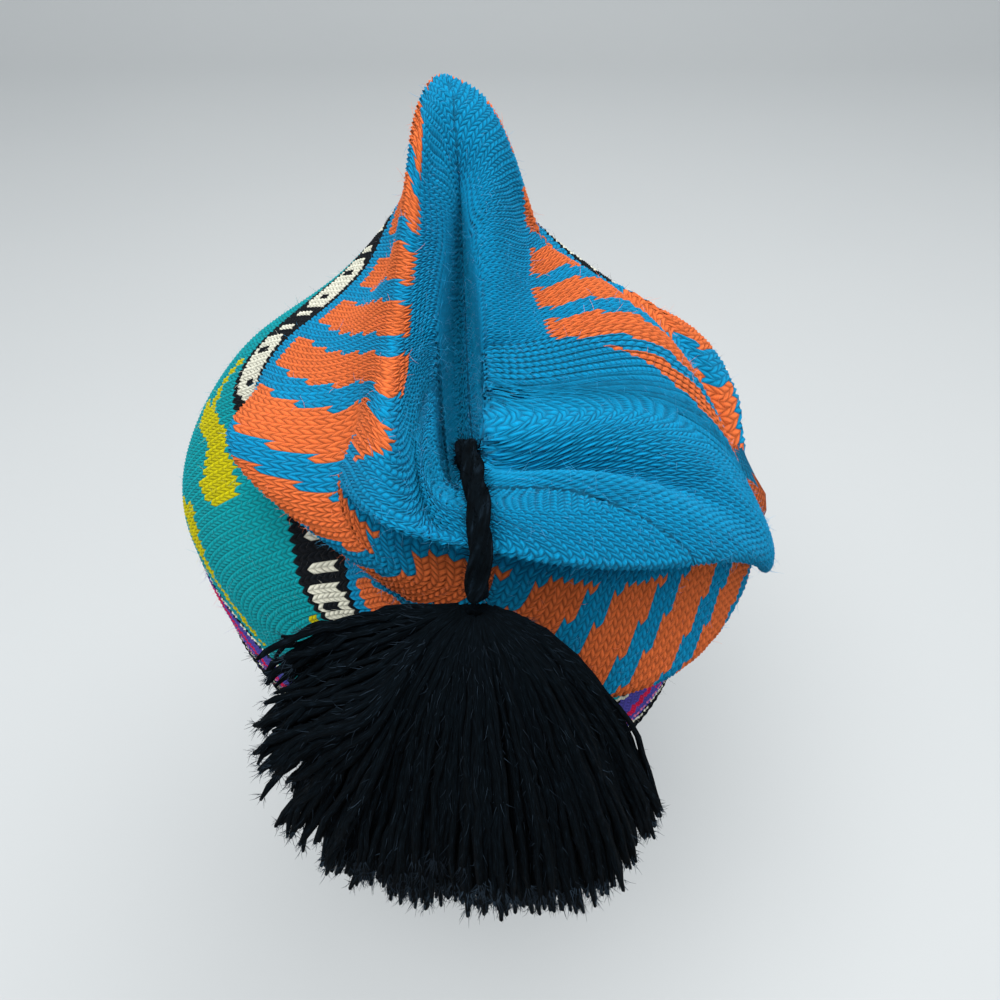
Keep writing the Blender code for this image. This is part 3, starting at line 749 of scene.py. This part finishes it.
def stitched_piece(knitting, name, first, last, material):
    """The courses from first to last: two rows of vertices a course, bent into the stitches' Vs."""
    half = np.arange(2 * first, 2 * last + 1)
    wale = np.arange(knitting.columns) / COLUMNS
    in_wale = wale % 1.0
    rise = V_RISE * np.abs(in_wale - 0.5) * 2
    rows = half[:, None] / 2 + rise[None] - V_RISE / 2
    wales = np.repeat(wale[None], len(half), 0)
    around, along, gone = knitting.place(wales, np.clip(rows, 0, None))
    side = np.array(COLUMN_HEIGHTS)[np.round(in_wale * COLUMNS).astype(int)]
    raised = np.where((half % 2 == 1)[:, None], side[None], side[None] * LOW_HEIGHT)
    points = sample(knitting.outer, along, around)
    points += sample(knitting.normals, along, around) * (raised * RELIEF)[..., None]
    count = knitting.columns
    index = np.arange(len(half))[:, None] * count + np.arange(count)[None]
    edge = np.where(np.isclose(around, 0.5), count // 2, 0)
    index = np.where(gone, np.arange(len(half))[:, None] * count + edge, index)
    ended = along > TIP_SHARE
    faces, colours = [], []
    palette = np.array(list(YARN.values()))
    for i in range(len(half) - 1):
        a, b = index[i], np.roll(index[i], -1)
        c, d = np.roll(index[i + 1], -1), index[i + 1]
        shade = palette[knitting.chart[half[i] // 2, (np.arange(count) // COLUMNS)]]
        done = ended[i] & np.roll(ended[i], -1)
        for k in np.nonzero(~done)[0]:
            corners = list(dict.fromkeys((int(a[k]), int(b[k]), int(c[k]), int(d[k]))))
            if len(corners) > 2:
                faces.append(corners)
                colours.append(shade[k])
    used = np.unique(np.concatenate([np.array(f) for f in faces]))
    renumber = np.full(index.size, -1)
    renumber[used] = np.arange(len(used))
    faces = [[int(renumber[v]) for v in f] for f in faces]
    uv = np.stack([wales, np.repeat(half[:, None] / 2, count, 1)], -1).reshape(-1, 2)[used]
    obj = mesh_object(name, points.reshape(-1, 3)[used], faces, material, uv, np.array(colours), WALES)
    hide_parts("knitted_body")


def inside_face(outer, chart, material):
    """The inner face of the fabric, a wall's thickness inside, and the turned rim that joins the two; their
    yarn colours are darkened as painted shade inside the hat.
    """
    inner = relax_tangles(outer - row_normals(outer) * WALL, outer)
    inner[0, :, 2] = outer[0, :, 2]
    rows, cols = inner.shape[:2]
    faces = [(b, a, d, c) for a, b, c, d in grid_faces(rows + 1, cols)]
    tip = (rows + 1) * cols
    faces += [(rows * cols + (j + 1) % cols, rows * cols + j, tip) for j in range(cols)]
    tip_point = inner[-1].mean(0) - [0, 0, WALL]
    verts = np.concatenate([outer[0], inner.reshape(-1, 3), [tip_point]])
    uv = np.stack(np.broadcast_arrays(np.arange(cols)[None] * WALES / cols,
                                      np.arange(rows + 1)[:, None] * LINING_ROWS / rows), -1)
    uv = np.concatenate([uv.reshape(-1, 2), [[0, LINING_ROWS]]])
    wale, row = uv[[face[0] for face in faces]].astype(int).T
    colours = np.array(list(YARN.values()))[chart[np.minimum(row, LOW_ROWS + 2), wale % WALES]]
    # the inner face's yarn colours, darkened as painted shade
    obj = mesh_object("inside_face", verts, faces, material, uv, colours * LINING_PAINTED_SHADE, WALES)
    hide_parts("knitted_body")


def edging(material):
    """The rolled edge: a bar of black stitches that stand across it."""
    ring = body_surface(np.arange(WALES * 2) / (WALES * 2), np.array([0.0]))[0]
    out = ring.copy()
    out[:, 2] = 0
    out /= np.linalg.norm(out, axis=1, keepdims=True)
    turn = np.arange(EDGE_SIDES) / EDGE_SIDES * 2 * math.pi
    ridge = np.where(np.arange(len(ring)) % 2 == 0, 1.0, EDGE_RIDGE)
    middle = ring - out * WALL / 2
    height = ring[:, None, 2] - EDGE_HEIGHT / 2 - EDGE_GAP
    reach = np.cos(turn)[None] * EDGE_THICK / 2 * ridge[:, None]
    verts = middle[:, None] + reach[..., None] * out[:, None]
    verts[..., 2] = height + np.sin(turn)[None] * EDGE_HEIGHT / 2 * ridge[:, None]
    rows = len(ring)
    faces = [tuple(v % (rows * EDGE_SIDES) for v in face) for face in grid_faces(rows + 1, EDGE_SIDES)]
    uv = np.stack(np.broadcast_arrays(np.arange(rows)[:, None] / 2,
                                      np.arange(EDGE_SIDES)[None] / EDGE_SIDES * 3), -1)
    obj = mesh_object("rolled_edge", verts.reshape(-1, 3), faces, material, uv.reshape(-1, 2))
    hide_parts("rim_edging")


def frames_along(points):
    """Tangent and two side directions at each point of a line, without sudden turns."""
    tangent = np.gradient(points, axis=0)
    tangent /= np.maximum(np.linalg.norm(tangent, axis=1, keepdims=True), 1e-9)
    side = np.zeros_like(points)
    guess = np.array([1.0, 0, 0] if abs(tangent[0, 0]) < 0.8 else [0, 1.0, 0])
    for i, t in enumerate(tangent):
        guess = guess - t * guess.dot(t)
        guess = guess / max(np.linalg.norm(guess), 1e-9)
        side[i] = guess
    return tangent, side, np.cross(tangent, side)


def rings_round(line, turn, radius):
    """Rings of points round a line, a row for each of its points."""
    _, side, other = frames_along(line)
    return (line[:, None] + (np.cos(turn)[None] * radius)[..., None] * side[:, None]
            + (np.sin(turn)[None] * radius)[..., None] * other[:, None])


def twisted_cord(material):
    """Three plies of soft yarn twisted round each other, swept along the route as one body."""
    count, sides, plies = 150, 24, 3
    line, length = smooth_route(CORD_ROUTE, count)
    s = np.linspace(0, length, count)
    turn = np.arange(sides) / sides * 2 * math.pi
    twist = s[:, None] / CORD_TURN * 2 * math.pi / plies
    radius = CORD_DIAMETER / 2 * (0.86 + 0.14 * np.cos(plies * turn[None] - plies * twist))
    verts = rings_round(line, turn, radius).reshape(-1, 3)
    uv = np.stack(np.broadcast_arrays(s[:, None] / YARN_UNIT, turn[None] / 2 / math.pi * 6 - twist), -1)
    obj = mesh_object("twisted_cord", verts, tube_faces(count, sides), material, uv.reshape(-1, 2))
    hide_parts("hanging_cord")
    return obj, line, length


def clear_of_fabric(p, room, tree):
    """Moves a point away from the hat and a little down until it has room in front of the fabric."""
    for _ in range(10):
        near, normal, _, distance = tree.find_nearest(Vector(p))
        if distance >= room and (Vector(p) - near).dot(normal) > 0:
            break
        p = p + np.array(PUSH_STEP)
    return p


def yarn_line(tree, end):
    """The fall of one yarn from the tie to its end, eased off the fabric; None if it would bend hard."""
    t = np.linspace(YARN_START, 1, YARN_POINTS)[:, None]
    sideways, down = (t ** power for power in YARN_POWERS)
    line = np.array(TIE) + end * np.concatenate([sideways, sideways, down], 1) - [0, 0, 0.0005]
    room = YARN_ROOM[0] + YARN_ROOM[1] * np.minimum(1, 2 * t[:, 0])
    push = np.array([clear_of_fabric(p, r, tree) for p, r in zip(line, room)]) - line
    for k in range(1, YARN_POINTS):
        push[k] = np.minimum(push[k], push[k - 1] * 0.93)
    for _ in range(4):
        push[1:-1] = (push[:-2] + 2 * push[1:-1] + push[2:]) / 4
    return None if np.linalg.norm(push, axis=1).max() > YARN_PUSH else line + push


def yarn_ends():
    """Ends of all yarns, seen from the tie: the layers of locks run into one another, in loose clumps."""
    table = np.array(LOCK_LAYERS)
    places = np.arange(len(table))
    for k in range(YARNS):
        layer = (len(table) - 1) * (1 - math.sqrt(1 - 0.97 * (k + 0.5) / YARNS))
        spread_x, spread_y, spread_back, fall = (np.interp(layer, places, column) for column in table.T)
        angle = k * GOLDEN_ANGLE + rng.normal(0, 0.05)
        angle += DENSER_LEFT * math.sin(angle)
        shift = 2.1 * math.floor(layer * 2)
        angle += CLUMPS[1] * math.sin(CLUMPS[0] * angle + shift)
        wave = 1 + WAVES[1] * math.cos(WAVES[0] * angle + shift) + rng.uniform(-0.08, 0.04)
        reach = spread_back if math.sin(angle) > 0 else spread_y
        outer = WIDTHS[0] if math.cos(angle) > 0 else WIDTHS[1]
        fall += RIGHT_FALL * max(0, math.cos(angle)) * max(0, 1 - layer / 2)
        level = 0.96 + 0.04 * math.sin(5 * angle) + rng.uniform(-0.04, 0.025)
        yield np.array([(math.cos(angle) * spread_x * wave * outer + LEAN[0] * fall) * POMPOM_SPREAD,
                        (math.sin(angle) * reach * wave * outer + LEAN[1] * fall) * POMPOM_SPREAD,
                        -fall * level * POMPOM_DROP])
    for x, y, z in STRAY_LOCKS:
        middle = np.array([x * POMPOM_SPREAD, y * POMPOM_SPREAD, z * POMPOM_DROP])
        for _ in range(STRAY_YARNS):
            spot = rng.normal(0, STRAY_SPREAD, 3)
            yield middle * rng.uniform(0.92, 1.08) + spot


def strand_tube(points, radii, store):
    """Adds one yarn along the points to store: lists of vertices, faces and places along and round it."""
    verts, faces, uv = store
    first = sum(len(v) for v in verts)
    turn = np.arange(YARN_SIDES) / YARN_SIDES * 2 * math.pi
    run = np.concatenate([[0], np.cumsum(np.linalg.norm(np.diff(points, axis=0), axis=1))])
    verts.append(rings_round(points, turn, radii[:, None]).reshape(-1, 3))
    place = np.stack(np.broadcast_arrays(run[:, None] / YARN_UNIT + first * 0.37, turn[None]), -1)
    uv.append(place.reshape(-1, 2))
    faces += tube_faces(len(points), YARN_SIDES, first)


def fibre_cluster(roots, aims, lengths, width, bend=0.25):
    """Thin tapered fibres as three-sided spikes: vertices and faces. aims are unit vectors."""
    n = len(roots)
    guess = np.where(np.abs(aims[:, :1]) < 0.8, [[1.0, 0, 0]], [[0, 1.0, 0]])
    across = np.cross(aims, guess)
    across /= np.linalg.norm(across, axis=1, keepdims=True)
    other = np.cross(aims, across)
    swing = rng.normal(0, bend, (n, 1)) * across + rng.normal(0, bend, (n, 1)) * other
    verts = []
    for t, thick in FIBRE_TAPER:
        centre = roots + lengths[:, None] * (aims * t + swing * t * t)
        for angle in FIBRE_CORNERS:
            verts.append(centre + (across * math.cos(angle) + other * math.sin(angle)) * width * thick)
    order = np.arange(9 * n).reshape(3, 3, n)
    faces = []
    for k in range(2):
        for j in range(3):
            m = (j + 1) % 3
            faces.append(np.stack([order[k, j], order[k, m], order[k + 1, m], order[k + 1, j]], 1))
    quads = np.stack(faces, 1).reshape(-1, 4)
    ends = np.concatenate([np.stack([order[2, 0], order[2, 1], order[2, 2]], 1),
                           np.stack([order[0, 2], order[0, 1], order[0, 0]], 1)])
    return np.concatenate(verts), quads.tolist() + ends.tolist()


def pompom_pieces(tree, material, fluff):
    """Plush yarns, then the loose fibres that stand off them and off their cut ends."""
    yarns = ([], [], [])
    roots, aims, lengths = [], [], []
    for end in yarn_ends():
        line = yarn_line(tree, end)
        if line is None:
            continue
        t = np.linspace(0, 1, len(line))
        _, side, other = frames_along(line)
        phase = rng.uniform(0, 2 * math.pi, 2)
        sway = rng.uniform(*YARN_SWAY)
        ripple = rng.normal(0, YARN_RIPPLE, (2, len(t)))
        for k, across in enumerate((side, other)):
            wave = np.sin(rng.uniform(*YARN_WAVES) * t + phase[k])
            line = line + (sway * wave * t + ripple[k])[:, None] * across
        thick = YARN_RADIUS * rng.uniform(0.85, 1.15) * np.interp(t, *YARN_PROFILE)
        strand_tube(line, thick, yarns)
        tangent, side, other = frames_along(line)
        at = np.concatenate([rng.uniform(1, len(line) - 2, FIBRES), np.full(END_FIBRES, len(line) - 1.3)])
        i = at.astype(int)
        at_end = at > len(line) - 2
        turn = rng.uniform(0, 2 * math.pi, len(at))
        out = np.cos(turn)[:, None] * side[i] + np.sin(turn)[:, None] * other[i]
        at_ends, at_sides = (rng.uniform(*limits, len(at)) for limits in FIBRE_SPREADS)
        spread = np.where(at_end, at_ends, at_sides)
        aim = tangent[i] + out * spread[:, None]
        roots.append(line[i] + (line[np.minimum(i + 1, len(line) - 1)] - line[i]) * (at - i)[:, None]
                     + out * thick[i][:, None] * 0.7)
        aims.append(aim / np.linalg.norm(aim, axis=1, keepdims=True))
        at_ends, at_sides = (rng.uniform(*limits, len(at)) for limits in FIBRE_LENGTHS)
        lengths.append(np.where(at_end, at_ends, at_sides))
    verts, faces, uv = yarns
    pieces = [mesh_object("pompom_yarns", np.concatenate(verts), faces, material, np.concatenate(uv))]
    roots, aims, lengths = np.concatenate(roots), np.concatenate(aims), np.concatenate(lengths)
    for half in range(2):
        verts, faces = fibre_cluster(roots[half::2], aims[half::2], lengths[half::2], FIBRE_WIDTH)
        uv = np.zeros((len(verts), 2))
        pieces.append(mesh_object(f"pompom_fibres_{half + 1}", verts, faces, fluff, uv))
    for piece in pieces:
        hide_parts("pompom")
    return pieces


def cord_fuzz(line, material):
    """Short fibres along the cord."""
    tangent, side, other = frames_along(line)
    i = rng.integers(1, len(line) - 1, CORD_FIBRES)
    turn = rng.uniform(0, 2 * math.pi, CORD_FIBRES)
    out = np.cos(turn)[:, None] * side[i] + np.sin(turn)[:, None] * other[i]
    outward, onward = rng.uniform(0.4, 1.0, (CORD_FIBRES, 1)), rng.uniform(-1, 1, (CORD_FIBRES, 1))
    aim = out * outward + tangent[i] * onward
    aim /= np.linalg.norm(aim, axis=1, keepdims=True)
    root = line[i] + out * CORD_DIAMETER * 0.38
    length = rng.uniform(*CORD_FIBRE_LENGTH, CORD_FIBRES)
    verts, faces = fibre_cluster(root, aim, length, CORD_FIBRE_WIDTH)
    obj = mesh_object("cord_fibres", verts, faces, material, np.zeros((len(verts), 2)))
    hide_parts("hanging_cord")


def wool_fuzz(knitting, material):
    """Short loose fibres that stand off the wool, most of them along the fabric."""
    wale = rng.uniform(0, WALES, FUZZ)
    row = rng.uniform(0.5, knitting.rows - 1, FUZZ)
    around, along, gone = knitting.place(wale, row)
    keep = ~gone & (along < 0.97)
    around, along, wale, row = around[keep], along[keep], wale[keep], row[keep]
    root = sample(knitting.outer, along, around)
    normal = sample(knitting.normals, along, around)
    normal /= np.linalg.norm(normal, axis=1, keepdims=True)
    drift = rng.normal(0, 1, root.shape)
    drift -= normal * (drift * normal).sum(1, keepdims=True)
    drift /= np.linalg.norm(drift, axis=1, keepdims=True)
    length = rng.uniform(*FUZZ_LENGTH, len(root))
    lift = rng.uniform(*FUZZ_LIFT, len(root))[:, None]
    aim = drift + normal * lift
    aim /= np.linalg.norm(aim, axis=1, keepdims=True)
    verts, faces = fibre_cluster(root + normal * FUZZ_ROOT, aim, length, FUZZ_WIDTH, FUZZ_BEND)
    palette = np.array(list(YARN.values()))
    # each fibre takes its stitch's yarn colour, lightened as painted light that it catches
    shade = palette[knitting.chart[row.astype(int), wale.astype(int) % WALES]] * FUZZ_PAINTED_LIGHT
    n = len(root)
    order = np.concatenate([np.repeat(np.arange(n), 6), np.arange(n), np.arange(n)])
    obj = mesh_object("wool_fuzz", verts, faces, material, None, shade[order])
    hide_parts("knitted_body")


def add_stage():
    """A pale floor that curves up far behind, and soft light from above."""
    curve = [(FLOOR_BACK + FLOOR_BEND * math.sin(a), FLOOR_BEND - FLOOR_BEND * math.cos(a))
             for a in np.linspace(0.1, math.pi / 2, 12)]
    profile = [(-1.6, 0.0), (FLOOR_BACK, 0.0), *curve, (1.8, 3.0)]
    verts = [(x, y, FLOOR_Z + z) for y, z in profile for x in (-FLOOR_HALF, FLOOR_HALF)]
    faces = [(2 * i, 2 * i + 1, 2 * i + 3, 2 * i + 2) for i in range(len(profile) - 1)]
    mesh = bpy.data.meshes.new("floor")
    mesh.from_pydata(verts, [], faces)
    mesh.polygons.foreach_set("use_smooth", [True] * len(mesh.polygons))
    mesh.materials.append(floor_paint())
    floor = add_object("floor", mesh)
    for name, place, aim, size, power in LIGHTS:
        data = bpy.data.lights.new(name, "AREA")
        data.shape = "DISK"
        data.size = size
        data.energy = power
        lamp = add_object(name, data)
        lamp.location = place
        lamp.rotation_euler = (Vector(aim) - Vector(place)).to_track_quat("-Z", "Y").to_euler()
    bpy.context.scene.view_settings.view_transform = "Standard"
    world = bpy.data.worlds.new("soft_room")
    bpy.context.scene.world = world
    world.use_nodes = True
    back = world.node_tree.nodes["Background"]
    back.inputs["Color"].default_value = ROOM_LIGHT
    back.inputs["Strength"].default_value = ROOM_STRENGTH


add_camera()
wool = wool_paint()
black = black_yarn_paint("black_yarn", along=0.8, across=2.0, lift=0.0008)
plush = black_yarn_paint("pompom_yarn", along=1.4, across=3.0, lift=0.0006)
cord, cord_line, cord_length = twisted_cord(black)

along = np.linspace(0, 1, BASE_ROWS + 1)
around = np.arange(BASE_COLUMNS) / BASE_COLUMNS
outer = ease_slope(body_surface(around, along), around, along)
outer = relax_tangles(part_for_cord(relax_tangles(outer)))
knitting = Knitting(outer)
bounds = [*PIECE_ROWS, knitting.rows]
for number, (first, last) in enumerate(zip(bounds, bounds[1:])):
    stitched_piece(knitting, f"stitches_{number + 1}", first, last, wool)
inside_face(outer, knitting.chart, wool)
edging(black)
plush_pieces = pompom_pieces(tree_of(outer), plush, pompom_fluff_paint())
cord_fuzz(cord_line, black)
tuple(cord_line[0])
wool_fuzz(knitting, fuzz_paint())
add_stage()
